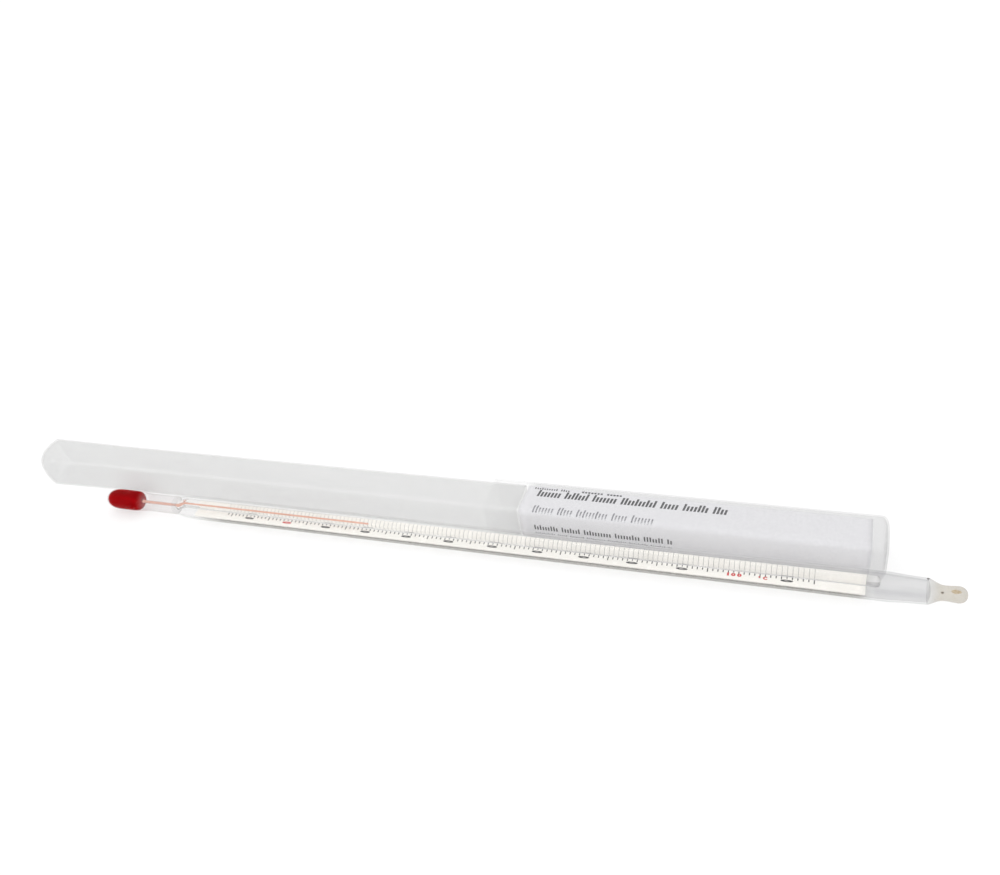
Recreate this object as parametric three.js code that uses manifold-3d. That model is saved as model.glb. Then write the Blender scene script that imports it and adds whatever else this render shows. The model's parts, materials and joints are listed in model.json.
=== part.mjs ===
// Enclosed-scale glass thermometer with a red filling, lying beside its telescoping storage case.
// Millimetres, +Z up, +X along the case from its closed body end to its cap end.
// The origin is the bottom centre of the whole set, on the surface that it lies on.
import * as THREE from 'three';
import { ConvexGeometry } from 'three/addons/geometries/ConvexGeometry.js';
import { mergeVertices } from 'three/addons/utils/BufferGeometryUtils.js';
import Module from 'manifold-3d';

const wasm = await Module();
wasm.setup();

// ---------- driving dimensions ----------

// Thermometer: stations are distances along its axis, and the rounded top ends at LENGTH.
const BULB_TIP = 0.8;
const LENGTH = 260.0;
const SHEATH_R = 3.8;
const SHEATH_WALL = 0.5;
const BULB_R = 3.25;
const NECK_R = 2.9;
const NECK_END = 27.5;
const FLARE_END = 35.6;
const TAPER_START = 240.0;
const SHEATH_END = 250.9;
const FIT_GAP = 0.3;

const CAPILLARY_R = 1.5;
const BORE_R = 0.5;
const STEP_START = 28.2;
const STEP_END = 32.2;
const STEP_RISE = 1.45;
const CAPILLARY_END = 240.0;

const THREAD_R = 0.2;
const STEP_LIQUID_END = 34.0;
const COLUMN_START = 34.3;
const COLUMN_END = 96.4;
const MENISCUS_START = 96.7;
const MENISCUS_END = 97.5;

const PLATE_START = 36.0;
const PLATE_END = 236.6;
const PLATE_WIDTH = 5.8;
const PLATE_THICK = 0.8;
const PLATE_FACE_Z = -0.2;

// Where the thermometer lies: its station 0, from the case's left end and its centre plane.
const REST_X = 32.6;
const REST_Y = -11.9;
const REST_TURN = 0.0052;

// Storage case: the body is closed at X = 0, the cap at X = CASE_LENGTH.
const CASE_LENGTH = 274.2;
const BODY_LENGTH = 175.6;
const BODY_WIDTH = 10.8;
const BODY_WALL = 0.6;
const BODY_CORNER = 0.7;
const BODY_DROP = 0.1;
const CAP_LENGTH = 108.1;
const CAP_WIDTH = 12.3;
const CAP_WALL = 0.5;
const CAP_CORNER = 0.9;
const END_WALL = 1.0;
const BODY_END = { round: 2.9, corner: 5.0 };
const CAP_END = { round: 1.9, corner: 2.3 };
const BODY_HOLLOW_END = { round: 2.4, corner: 4.5 };
const CAP_HOLLOW_END = { round: 1.4, corner: 1.9 };
const INNER_CORNER = 0.25;

const LABEL_START = 176.6;
const LABEL_END = 270.0;
const LABEL_WIDTH = 10.6;
const LABEL_THICK = 0.25;
const LABEL_CORNER = 0.8;
const LABEL_SEAM = 1.2;

const ROUND_SIDES = 48;
const ROD_SIDES = 24;
const THREAD_SIDES = 10;
const CORNER_STEPS = 4;
const ROUND_STEPS = 4;

// ---------- materials ----------

function plain(name, colour, roughness, metalness, opacity = 1) {
  const material = new THREE.MeshStandardMaterial({
    name,
    color: new THREE.Color(...colour),
    roughness,
    metalness,
  });
  if (opacity < 1) {
    material.transparent = true;
    material.opacity = opacity;
  }
  return material;
}

// ---------- helpers ----------

// Turns a solid built along +Z, with its section in X and Y, to run along +X with the section in Y and Z.
const ALONG_X = new THREE.Matrix4().makeBasis(
  new THREE.Vector3(0, 1, 0),
  new THREE.Vector3(0, 0, 1),
  new THREE.Vector3(1, 0, 0),
);

// A solid of revolution about the X axis, from [station, radius] pairs.
function turned(profile, sides) {
  const points = profile.map(([station, radius]) => new THREE.Vector2(radius, station));
  const geometry = new THREE.LatheGeometry(points, sides);
  geometry.rotateZ(-Math.PI / 2);
  return geometry;
}

// A solid of revolution whose profile closes on itself clear of the axis.
function turnedRing(profile, sides) {
  return turned([...profile, profile[0]], sides);
}

function circle(radius) {
  const shape = new THREE.Shape();
  shape.absarc(0, 0, radius, 0, Math.PI * 2, false);
  return shape;
}

function ring(outer, inner) {
  const shape = circle(outer);
  const hole = new THREE.Path();
  hole.absarc(0, 0, inner, 0, Math.PI * 2, true);
  shape.holes.push(hole);
  return shape;
}

function roundedSquare(width, corner) {
  const h = width / 2;
  const c = h - corner;
  const shape = new THREE.Shape();
  shape.moveTo(-c, -h);
  shape.lineTo(c, -h);
  shape.absarc(c, -c, corner, -Math.PI / 2, 0, false);
  shape.lineTo(h, c);
  shape.absarc(c, c, corner, 0, Math.PI / 2, false);
  shape.lineTo(-c, h);
  shape.absarc(-c, c, corner, Math.PI / 2, Math.PI, false);
  shape.lineTo(-h, -c);
  shape.absarc(-c, -c, corner, Math.PI, Math.PI * 1.5, false);
  return shape;
}

// A plain prism along +X between two stations.
function prism(shape, from, to, curveSegments = 4) {
  const geometry = new THREE.ExtrudeGeometry(shape, {
    depth: to - from,
    bevelEnabled: false,
    curveSegments,
    steps: 1,
  });
  geometry.applyMatrix4(ALONG_X);
  geometry.translate(from, 0, 0);
  return geometry;
}

// A square bar along +X with rounded long edges, whose end at "closed" is rounded off all round, its
// corners most, and whose end at "open" is cut square. It is the hull of its sections.
function roundedBar(width, corner, end, closed, open) {
  const into = Math.sign(open - closed);
  const sections = [[open, width, corner]];
  for (let k = 0; k <= ROUND_STEPS; k += 1) {
    const angle = (k / ROUND_STEPS) * (Math.PI / 2);
    const station = closed + into * end.round * (1 - Math.cos(angle));
    const drawnIn = 1 - Math.sin(angle);
    const size = width - 2 * end.round * drawnIn;
    sections.push([station, size, Math.min(size / 2 - 0.01, corner + (end.corner - corner) * drawnIn)]);
  }
  const points = [];
  for (const [station, size, edge] of sections) {
    for (const point of roundedSquare(size, edge).getPoints(CORNER_STEPS)) {
      points.push(new THREE.Vector3(station, point.x, point.y));
    }
  }
  return new ConvexGeometry(points);
}

function toSolid(geometry) {
  const bare = geometry.clone();
  bare.deleteAttribute('normal');
  bare.deleteAttribute('uv');
  const merged = mergeVertices(bare, 1e-4);
  return new wasm.Manifold(new wasm.Mesh({
    numProp: 3,
    vertProperties: new Float32Array(merged.attributes.position.array),
    triVerts: new Uint32Array(merged.index.array),
  }));
}

function toGeometry(solid) {
  const mesh = solid.getMesh();
  const geometry = new THREE.BufferGeometry();
  geometry.setAttribute('position', new THREE.BufferAttribute(new Float32Array(mesh.vertProperties), 3));
  geometry.setIndex(new THREE.BufferAttribute(new Uint32Array(mesh.triVerts), 1));
  geometry.computeVertexNormals();
  return geometry;
}

// The capillary's centreline: on the axis at the neck, then a smooth step up to the front of the scale.
function stepHeight(station) {
  const t = THREE.MathUtils.clamp((station - STEP_START) / (STEP_END - STEP_START), 0, 1);
  return STEP_RISE * t * t * (3 - 2 * t);
}

// A curve through listed stations; it is sampled at those stations, not at equal lengths.
class SteppedLine extends THREE.Curve {
  constructor(stations) {
    super();
    this.points = stations.map((s) => new THREE.Vector3(s, 0, stepHeight(s)));
  }

  getPoint(t, target = new THREE.Vector3()) {
    const last = this.points.length - 1;
    const place = THREE.MathUtils.clamp(t, 0, 1) * last;
    const index = Math.min(Math.floor(place), last - 1);
    return target.lerpVectors(this.points[index], this.points[index + 1], place - index);
  }

  getUtoTmapping(u) {
    return u;
  }
}

function stepStations(from, to) {
  const stations = [from];
  for (let s = STEP_START; s <= STEP_END + 1e-6; s += 0.4) {
    stations.push(s);
  }
  stations.push(to);
  return stations;
}

function swept(shape, stations, curveSegments) {
  return new THREE.ExtrudeGeometry(shape, {
    extrudePath: new SteppedLine(stations),
    steps: stations.length - 1,
    curveSegments,
  });
}

// ---------- thermometer ----------

const thermometer = new THREE.Group();

function addTo(group, name, geometry, material) {
  const mesh = new THREE.Mesh(geometry, material);
  mesh.name = name;
  group.add(mesh);
  return mesh;
}

// Bulb and neck: a thin reservoir that narrows inside to the bore of the solid neck.
const bulbProfile = [
  [BULB_TIP, 0],
  [0.92, 0.88],
  [1.35, 1.75],
  [2.1, 2.45],
  [3.1, 2.92],
  [4.5, 3.17],
  [6.4, BULB_R],
  [11.6, 3.22],
  [13.4, 3.12],
  [15.6, 2.96],
  [18, NECK_R],
  [NECK_END, NECK_R],
  [NECK_END, BORE_R],
  [14.8, BORE_R],
  [13.8, 0.85],
  [12.9, 1.65],
  [11.8, 2.4],
  [10.6, 2.82],
  [5.6, 2.82],
  [3.9, 2.55],
  [2.7, 2.0],
  [1.9, 1.15],
  [1.55, 0],
];
addTo(thermometer, 'bulb_shell', turned(bulbProfile, ROUND_SIDES),
  plain('bulb_glass', [0.86, 0.88, 0.88], 0.04, 0, 0.4));

// The filling in the reservoir and in the neck's bore.
const bulbLiquidProfile = [
  [1.88, 0],
  [2.2, 0.92],
  [2.95, 1.72],
  [4.2, 2.27],
  [5.8, 2.52],
  [10.4, 2.52],
  [11.5, 2.12],
  [12.5, 1.38],
  [13.3, 0.6],
  [14.5, THREAD_R],
  [NECK_END - 0.1, THREAD_R],
  [NECK_END - 0.1, 0],
];
addTo(thermometer, 'bulb_liquid', turned(bulbLiquidProfile, ROD_SIDES),
  plain('red_liquid', [0.7, 0.03, 0.06], 0.2, 0));

// Sheath: the outer tube, flared out from the neck's width and drawn down a little before the top seal.
const innerR = SHEATH_R - SHEATH_WALL;
const sheathProfile = [
  [NECK_END + FIT_GAP, NECK_R],
  [28.8, 2.98],
  [30.4, 3.22],
  [32.4, 3.55],
  [34, 3.74],
  [FLARE_END, SHEATH_R],
  [TAPER_START, SHEATH_R],
  [242.4, 3.76],
  [244.6, 3.6],
  [247, 3.46],
  [249.2, 3.38],
  [SHEATH_END, 3.29],
  [SHEATH_END, 2.78],
  [249, 2.9],
  [246.5, 3],
  [244, 3.12],
  [242, 3.24],
  [TAPER_START, innerR],
  [FLARE_END + 2, innerR],
  [34, 3.42],
  [32.4, 3.26],
  [30.4, 2.95],
  [28.8, 2.7],
  [NECK_END + FIT_GAP, 2.6],
];
addTo(thermometer, 'sheath_tube', turnedRing(sheathProfile, ROUND_SIDES),
  plain('sheath_glass', [0.88, 0.9, 0.9], 0.03, 0, 0.3));

// Top seal: the tube closes in to a short neck and a rounded end.
const sealProfile = [
  [254.6, 0],
  [253.4, 1.2],
  [252.2, 2.1],
  [SHEATH_END + FIT_GAP, 2.68],
  [SHEATH_END + FIT_GAP, 3.2],
  [251.7, 3.03],
  [252.3, 2.74],
  [252.9, 2.42],
  [253.8, 2.06],
  [254.8, 1.94],
  [256, 1.97],
  [257.2, 2.08],
  [258.2, 2.1],
  [259.1, 1.8],
  [259.7, 1.2],
  [259.94, 0.6],
  [LENGTH, 0],
];
addTo(thermometer, 'end_seal', turned(sealProfile, ROUND_SIDES),
  plain('seal_glass', [0.84, 0.84, 0.81], 0.05, 0, 0.45));

// Capillary: thick-walled rod with a bore, stepped off the axis just above the neck.
addTo(thermometer, 'capillary_tube',
  swept(ring(CAPILLARY_R, BORE_R), stepStations(NECK_END + FIT_GAP, CAPILLARY_END), ROD_SIDES / 2),
  plain('capillary_glass', [0.88, 0.9, 0.88], 0.03, 0, 0.35));

addTo(thermometer, 'liquid_step',
  swept(circle(THREAD_R), stepStations(NECK_END + FIT_GAP, STEP_LIQUID_END), THREAD_SIDES / 2),
  plain('red_thread', [0.75, 0.1, 0.07], 0.3, 0));

const column = prism(circle(THREAD_R), COLUMN_START, COLUMN_END, THREAD_SIDES / 2);
column.translate(0, 0, STEP_RISE);
addTo(thermometer, 'liquid_column', column, plain('red_column', [0.75, 0.1, 0.07], 0.3, 0));

// The column's rounded top end, which marks the reading.
const meniscusProfile = [
  [MENISCUS_START, 0],
  [MENISCUS_START, THREAD_R],
  [MENISCUS_END - 0.15, THREAD_R],
  [MENISCUS_END - 0.04, 0.12],
  [MENISCUS_END, 0],
];
const meniscus = turned(meniscusProfile, THREAD_SIDES);
meniscus.translate(0, 0, STEP_RISE);
addTo(thermometer, 'meniscus', meniscus, plain('red_meniscus', [0.75, 0.1, 0.07], 0.3, 0));

// Milk-glass scale plate, level, just behind the capillary.
const plate = new THREE.BoxGeometry(PLATE_END - PLATE_START, PLATE_WIDTH, PLATE_THICK);
plate.translate((PLATE_START + PLATE_END) / 2, 0, PLATE_FACE_Z - PLATE_THICK / 2);
addTo(thermometer, 'scale_plate', plate, plain('milk_glass', [0.86, 0.85, 0.8], 0.35, 0));

thermometer.position.set(REST_X, REST_Y, SHEATH_R);
thermometer.rotation.z = REST_TURN;

// ---------- storage case ----------

const storage = new THREE.Group();

// Body: square tube, closed and rounded at the left end, square-cut at its mouth. It sits a little low
// in the cap.
const bodyOuter = toSolid(roundedBar(BODY_WIDTH, BODY_CORNER, BODY_END, 0, BODY_LENGTH));
const bodyInner = toSolid(roundedBar(
  BODY_WIDTH - BODY_WALL * 2, INNER_CORNER, BODY_HOLLOW_END, END_WALL, BODY_LENGTH + 10));
const caseBody = toGeometry(bodyOuter.subtract(bodyInner));
caseBody.translate(0, 0, -BODY_DROP);
addTo(storage, 'case_body', caseBody, plain('body_plastic', [0.83, 0.84, 0.84], 0.15, 0, 0.4));

// Cap: the same, slightly larger, slipped over the body's mouth.
const capMouth = CASE_LENGTH - CAP_LENGTH;
const capOuter = toSolid(roundedBar(CAP_WIDTH, CAP_CORNER, CAP_END, CASE_LENGTH, capMouth));
const capInner = toSolid(roundedBar(
  CAP_WIDTH - CAP_WALL * 2, INNER_CORNER, CAP_HOLLOW_END, CASE_LENGTH - END_WALL, capMouth - 10));
addTo(storage, 'case_cap', toGeometry(capOuter.subtract(capInner)),
  plain('cap_plastic', [0.83, 0.84, 0.84], 0.15, 0, 0.4));

// Paper label folded into a square sleeve, its seam at the underside.
const labelOuter = toSolid(prism(roundedSquare(LABEL_WIDTH, LABEL_CORNER), LABEL_START, LABEL_END));
const labelInner = toSolid(prism(
  roundedSquare(LABEL_WIDTH - LABEL_THICK * 2, LABEL_CORNER - LABEL_THICK), LABEL_START - 1, LABEL_END + 1));
const seamShape = new THREE.Shape();
seamShape.moveTo(2.5, -LABEL_WIDTH);
seamShape.lineTo(2.5 + LABEL_SEAM, -LABEL_WIDTH);
seamShape.lineTo(2.5 + LABEL_SEAM, -LABEL_WIDTH / 4);
seamShape.lineTo(2.5, -LABEL_WIDTH / 4);
const seam = toSolid(prism(seamShape, LABEL_START - 1, LABEL_END + 1));
addTo(storage, 'label_insert', toGeometry(labelOuter.subtract(labelInner).subtract(seam)),
  plain('label_paper', [0.87, 0.87, 0.88], 0.8, 0));

storage.position.set(0, 0, CAP_WIDTH / 2);

// ---------- the whole set, moved so that the origin is its bottom centre ----------

const set = new THREE.Group();
const placed = new THREE.Group();
placed.add(thermometer, storage);
set.add(placed);
set.updateMatrixWorld(true);
const bounds = new THREE.Box3().setFromObject(set, true);
const centre = bounds.getCenter(new THREE.Vector3());
placed.position.set(-centre.x, -centre.y, -bounds.min.z);
set.updateMatrixWorld(true);

export default set;
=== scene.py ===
"""Looks of the darkroom thermometer and its clear case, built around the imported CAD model.

Lengths in this file are in millimetres, and mesh_object() writes them out in metres; the lamps' measures
are in metres. A "station" is a distance along the thermometer from the tip of its bulb. Across it, y points
away from the camera's side and z points up, both from the thermometer's axis.
"""

import json
import math
import random

import bpy
import bmesh
from mathutils import Matrix, Vector, noise


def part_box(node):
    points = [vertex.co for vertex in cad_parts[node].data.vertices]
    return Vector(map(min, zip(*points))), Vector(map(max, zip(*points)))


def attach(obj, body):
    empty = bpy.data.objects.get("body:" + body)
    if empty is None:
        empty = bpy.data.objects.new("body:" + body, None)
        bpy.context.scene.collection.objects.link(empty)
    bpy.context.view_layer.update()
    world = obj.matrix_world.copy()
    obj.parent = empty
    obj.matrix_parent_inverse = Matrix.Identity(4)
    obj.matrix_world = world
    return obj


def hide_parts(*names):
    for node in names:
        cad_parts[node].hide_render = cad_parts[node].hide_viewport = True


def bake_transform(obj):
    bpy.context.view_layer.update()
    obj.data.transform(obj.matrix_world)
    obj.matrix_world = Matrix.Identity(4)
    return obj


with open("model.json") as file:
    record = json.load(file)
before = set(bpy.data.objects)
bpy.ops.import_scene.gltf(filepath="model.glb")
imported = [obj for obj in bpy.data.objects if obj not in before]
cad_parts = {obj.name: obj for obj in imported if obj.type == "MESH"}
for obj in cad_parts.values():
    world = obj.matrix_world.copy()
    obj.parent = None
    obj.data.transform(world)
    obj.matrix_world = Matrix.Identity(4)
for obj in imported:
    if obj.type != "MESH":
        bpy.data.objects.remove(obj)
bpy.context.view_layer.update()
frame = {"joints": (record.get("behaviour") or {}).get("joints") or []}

MM = 0.001
TAU = 2 * math.pi


# ---------- the frame ----------

def box_mm(node):
    low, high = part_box(node)
    return low / MM, high / MM


joint = next(j for j in frame["joints"] if j["name"] == "column_rise")
ALONG = Vector(joint["axis"]).normalized()
ACROSS = Vector((-ALONG.y, ALONG.x, 0))
UP = Vector((0, 0, 1))

tube_low, tube_high = box_mm("sheath_tube")
TUBE_START, TUBE_END = 27.8, 250.9
TIP = (tube_low + tube_high) / 2 - ALONG * (TUBE_START + TUBE_END) / 2


def at(station, y=0.0, z=0.0):
    """A point of the thermometer, in millimetres in the row frame."""
    return TIP + ALONG * station + ACROSS * y + UP * z


# ---------- camera ----------

# Fitted to the tick marks, the case's edges and both ends in the photo.
cap_low, cap_high = box_mm("case_cap")
CAMERA_AT = Vector((cap_low.x + 92.433, (cap_low.y + cap_high.y) / 2 - 179.151, 200.423))
YAW, PITCH, ROLL = -0.4448, 0.6975, -0.217
LENS = 34.164
SENSOR = 36.0

ahead = Vector((math.sin(YAW) * math.cos(PITCH), math.cos(YAW) * math.cos(PITCH), -math.sin(PITCH)))
level_right = Vector((math.cos(YAW), -math.sin(YAW), 0))
level_up = level_right.cross(ahead)
right = level_right * math.cos(ROLL) + level_up * math.sin(ROLL)
upward = level_up * math.cos(ROLL) - level_right * math.sin(ROLL)
turn = Matrix((right, upward, -ahead)).transposed()

camera_data = bpy.data.cameras.new("camera")
camera_data.lens = LENS
camera_data.sensor_width = SENSOR
camera_data.sensor_fit = "HORIZONTAL"
camera_data.clip_start = 0.01
camera_data.clip_end = 20
camera = bpy.data.objects.new("camera", camera_data)
camera.matrix_world = Matrix.Translation(CAMERA_AT * MM) @ turn.to_4x4()
bpy.context.scene.collection.objects.link(camera)
bpy.context.scene.camera = camera


# ---------- materials ----------

NOISE_LOW, NOISE_HIGH = 0.3, 0.7  # nearly all of a noise texture's values lie between these


def new_material(name):
    mat = bpy.data.materials.new(name)
    mat.use_nodes = True
    tree = mat.node_tree
    tree.nodes.clear()
    out = tree.nodes.new("ShaderNodeOutputMaterial")
    shader = tree.nodes.new("ShaderNodeBsdfPrincipled")
    tree.links.new(shader.outputs[0], out.inputs["Surface"])
    return mat, tree, shader, out


def stretched_noise(tree, scale, stretch=(1, 1, 1), detail=4):
    """Noise in the row frame, in cycles per metre, drawn out along any axis with a small stretch."""
    where = tree.nodes.new("ShaderNodeTexCoord")
    mapping = tree.nodes.new("ShaderNodeMapping")
    mapping.inputs["Scale"].default_value = stretch
    texture = tree.nodes.new("ShaderNodeTexNoise")
    texture.inputs["Scale"].default_value = scale
    texture.inputs["Detail"].default_value = detail
    texture.inputs["Roughness"].default_value = 0.55
    tree.links.new(where.outputs["Object"], mapping.inputs["Vector"])
    tree.links.new(mapping.outputs[0], texture.inputs["Vector"])
    return texture.outputs[0]


def spread(tree, value, low, high, start=NOISE_LOW, end=NOISE_HIGH):
    node = tree.nodes.new("ShaderNodeMapRange")
    node.inputs["From Min"].default_value = start
    node.inputs["From Max"].default_value = end
    node.inputs["To Min"].default_value = low
    node.inputs["To Max"].default_value = high
    tree.links.new(value, node.inputs["Value"])
    return node.outputs[0]


def two_tone(tree, value, dark, light):
    node = tree.nodes.new("ShaderNodeValToRGB")
    node.color_ramp.elements[0].position = NOISE_LOW
    node.color_ramp.elements[0].color = (*dark, 1)
    node.color_ramp.elements[1].position = NOISE_HIGH
    node.color_ramp.elements[1].color = (*light, 1)
    tree.links.new(value, node.inputs["Fac"])
    return node.outputs[0]


def bump(tree, shader, value, strength, distance_mm):
    node = tree.nodes.new("ShaderNodeBump")
    node.inputs["Strength"].default_value = strength
    node.inputs["Distance"].default_value = distance_mm * MM
    tree.links.new(value, node.inputs["Height"])
    tree.links.new(node.outputs[0], shader.inputs["Normal"])


def lamps_through(tree, shader, out, tint):
    """Lets light from the lamps reach what is inside or behind clear material, tinted a little."""
    path = tree.nodes.new("ShaderNodeLightPath")
    clear = tree.nodes.new("ShaderNodeBsdfTransparent")
    clear.inputs["Color"].default_value = (*tint, 1)
    mix = tree.nodes.new("ShaderNodeMixShader")
    either = tree.nodes.new("ShaderNodeMath")
    either.operation = "MAXIMUM"
    tree.links.new(path.outputs["Is Shadow Ray"], either.inputs[0])
    tree.links.new(path.outputs["Is Diffuse Ray"], either.inputs[1])
    tree.links.new(either.outputs[0], mix.inputs["Fac"])
    tree.links.new(shader.outputs[0], mix.inputs[1])
    tree.links.new(clear.outputs[0], mix.inputs[2])
    tree.links.new(mix.outputs[0], out.inputs["Surface"])


def ramp_between(tree, axis, start, end):
    """0 at one place along an axis of the row frame and 1 at another, both in millimetres."""
    where = tree.nodes.new("ShaderNodeTexCoord")
    split = tree.nodes.new("ShaderNodeSeparateXYZ")
    tree.links.new(where.outputs["Object"], split.inputs[0])
    return spread(tree, split.outputs[axis], 0.0, 1.0, start * MM, end * MM)


def maths(tree, operation, first, second):
    node = tree.nodes.new("ShaderNodeMath")
    node.operation = operation
    for slot, value in ((0, first), (1, second)):
        if isinstance(value, float):
            node.inputs[slot].default_value = value
        else:
            tree.links.new(value, node.inputs[slot])
    return node.outputs[0]


MIX_A, MIX_B, MIX_RESULT = 6, 7, 2  # the Mix node's sockets for colours


def mixed_colour(tree, share, first, second):
    node = tree.nodes.new("ShaderNodeMix")
    node.data_type = "RGBA"
    tree.links.new(share, node.inputs[0])
    tree.links.new(first, node.inputs[MIX_A])
    node.inputs[MIX_B].default_value = (*second, 1)
    return node.outputs[MIX_RESULT]


def rod_material(name, tint, shade):
    """Solid glass, which bends what is seen through it."""
    mat, tree, shader, out = new_material(name)
    drawn = stretched_noise(tree, 900, (0.06, 1, 1), 2)
    tree.links.new(two_tone(tree, drawn, [c * 0.985 for c in tint], tint), shader.inputs["Base Color"])
    tree.links.new(spread(tree, drawn, 0.0, 0.04), shader.inputs["Roughness"])
    shader.inputs["IOR"].default_value = 1.47
    shader.inputs["Specular IOR Level"].default_value = 0.3
    shader.inputs["Transmission Weight"].default_value = 1.0
    lamps_through(tree, shader, out, shade)
    return mat


def thin_wall_material(name, dark, light, rough, veil, edge, power, shade, cloud, bump_mm=0.0, level=0.5,
                       vary=0.15, zones=()):
    """Thin clear wall: a faint veil where it is seen square on, and more of it where it is seen edge on.

    veil is the wall's density square on and vary its variation, edge the density added edge on, power how
    close to the edge that starts, shade the light that passes to what is behind, and cloud the noise's
    scale and its stretch along X. Each zone is (ramps, colour, more veil): the ramps are multiplied, and
    where they reach 1 the wall has that colour and that much more veil.
    """
    mat, tree, shader, out = new_material(name)
    haze = stretched_noise(tree, cloud[0], (cloud[1], 1, 1))
    scuffs = stretched_noise(tree, cloud[0] * 12, (0.2, 1, 1), 3)
    colour = two_tone(tree, haze, dark, light)
    tree.links.new(spread(tree, scuffs, rough[0], rough[1]), shader.inputs["Roughness"])
    shader.inputs["IOR"].default_value = 1.49
    shader.inputs["Specular IOR Level"].default_value = level
    angle = tree.nodes.new("ShaderNodeLayerWeight")
    angle.inputs["Blend"].default_value = 0.5
    steep = maths(tree, "POWER", angle.outputs["Facing"], power)
    base = spread(tree, haze, veil * (1 - vary), veil * (1 + vary))
    total = maths(tree, "ADD", base, maths(tree, "MULTIPLY", steep, edge))
    for ramps, zone_colour, more in zones:
        share = ramp_between(tree, *ramps[0])
        for ramp in ramps[1:]:
            share = maths(tree, "MULTIPLY", share, ramp_between(tree, *ramp))
        colour = mixed_colour(tree, share, colour, zone_colour)
        total = maths(tree, "ADD", total, maths(tree, "MULTIPLY", share, more))
    held = maths(tree, "MINIMUM", maths(tree, "MAXIMUM", total, 0.0), 1.0)
    tree.links.new(colour, shader.inputs["Base Color"])
    tree.links.new(held, shader.inputs["Alpha"])
    if bump_mm:
        bump(tree, shader, haze, 0.25, bump_mm)
    lamps_through(tree, shader, out, shade)
    return mat


def solid_material(name, dark, light, scale, rough, bump_mm=0.0, stretch=(1, 1, 1), level=0.5):
    mat, tree, shader, out = new_material(name)
    grain = stretched_noise(tree, scale, stretch)
    tree.links.new(two_tone(tree, grain, dark, light), shader.inputs["Base Color"])
    tree.links.new(spread(tree, grain, rough[0], rough[1]), shader.inputs["Roughness"])
    shader.inputs["Specular IOR Level"].default_value = level
    if bump_mm:
        bump(tree, shader, grain, 0.4, bump_mm)
    return mat


# Ramps of the zones, as (axis, where it is 0, where it is 1). They stand in for tones of bent light.
BEYOND_BULB = ("X", at(13.5).x, at(16.5).x)
BESIDE_PLATE = ("X", at(238.5).x, at(235).x)
BEYOND_PLATE = ("X", at(235).x, at(239).x)
PAST_STEP = ("X", at(34).x, at(46).x)
LOWER_HALF = ("Z", 3.7, 2.7)
BAND_TOP, BAND_FOOT = ("Z", 6.7, 5.7), ("Z", 3.9, 4.8)
SEAL_START = ("X", at(253.6).x, at(250.9).x)
CAP_MOUTH = ("X", cap_low.x + 13, cap_low.x + 9)

# The stem's glass carries painted shade: a dark brownish band low down beside the plate, where the plate's
# underside would be seen through the glass, and a darker lengthwise band on the clear end past the plate,
# where bent light darkens it. Past the plate the glass is also greyer and cloudier.
GLASS = thin_wall_material(
    "clear_glass", (0.4, 0.4, 0.395), (0.5, 0.5, 0.49), rough=(0.03, 0.08), veil=0.055, edge=0.2, power=3.0,
    shade=(0.97, 0.97, 0.97), cloud=(300, 0.05), level=0.3, vary=0.7,
    zones=(((LOWER_HALF, BESIDE_PLATE, PAST_STEP), (0.2, 0.19, 0.165), 0.33),
           ((BEYOND_PLATE,), (0.36, 0.36, 0.37), 0.07),
           ((BEYOND_PLATE, BAND_TOP, BAND_FOOT), (0.26, 0.26, 0.28), 0.09)))
BULB_GLASS = thin_wall_material(
    "bulb_glass", (0.42, 0.02, 0.02), (0.55, 0.05, 0.05), rough=(0.03, 0.08), veil=0.015, edge=0.3,
    power=3.5, shade=(0.98, 0.98, 0.98), cloud=(300, 0.1), level=0.05,
    zones=(((BEYOND_BULB,), (0.45, 0.42, 0.42), 0.17),))
SEAL_GLASS = thin_wall_material(
    "seal_glass", (0.34, 0.3, 0.23), (0.48, 0.43, 0.34), rough=(0.05, 0.15), veil=0.38, edge=0.2, power=3.0,
    shade=(0.93, 0.93, 0.92), cloud=(500, 0.8), level=0.3,
    zones=(((SEAL_START,), (0.4, 0.4, 0.4), -0.12),))
ROD_GLASS = rod_material("capillary_glass", (0.99, 0.985, 0.975), (0.97, 0.97, 0.97))
BODY_PLASTIC = thin_wall_material(
    "body_plastic", (0.45, 0.452, 0.45), (0.54, 0.54, 0.535), rough=(0.16, 0.32), veil=0.15, edge=0.4,
    power=3.0, shade=(0.97, 0.97, 0.97), cloud=(60, 0.4), bump_mm=0.15, level=0.3)
CAP_PLASTIC = thin_wall_material(
    "cap_plastic", (0.28, 0.28, 0.284), (0.35, 0.35, 0.354), rough=(0.14, 0.3), veil=0.085, edge=0.3,
    power=3.0, shade=(0.97, 0.97, 0.97), cloud=(60, 0.4), bump_mm=0.15,
    zones=(((CAP_MOUTH,), (0.45, 0.45, 0.445), -0.07),))
BULB_RED = solid_material(
    "bulb_red", (0.19, 0.0, 0.001), (0.34, 0.0, 0.002), scale=500, rough=(0.2, 0.32), stretch=(0.1, 1, 1),
    level=0.02)
THREAD_RED = solid_material(
    "thread_red", (0.7, 0.36, 0.27), (0.8, 0.45, 0.35), scale=500, rough=(0.3, 0.5), level=0.1)
MILK = solid_material(
    "milk_glass", (0.92, 0.895, 0.84), (0.955, 0.93, 0.88), scale=300, rough=(0.18, 0.3), bump_mm=0.01)
INK = solid_material(
    "black_ink", (0.012, 0.012, 0.014), (0.035, 0.035, 0.038), scale=2500, rough=(0.4, 0.6))
RED_INK = solid_material(
    "red_ink", (0.55, 0.015, 0.02), (0.66, 0.03, 0.035), scale=2500, rough=(0.4, 0.6))
PAPER = solid_material(
    "label_paper", (0.745, 0.74, 0.762), (0.805, 0.8, 0.82), scale=1400, rough=(0.8, 0.95), bump_mm=0.03)
PRINT = solid_material(
    "print_black", (0.04, 0.04, 0.043), (0.09, 0.09, 0.095), scale=3500, rough=(0.6, 0.8))
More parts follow.
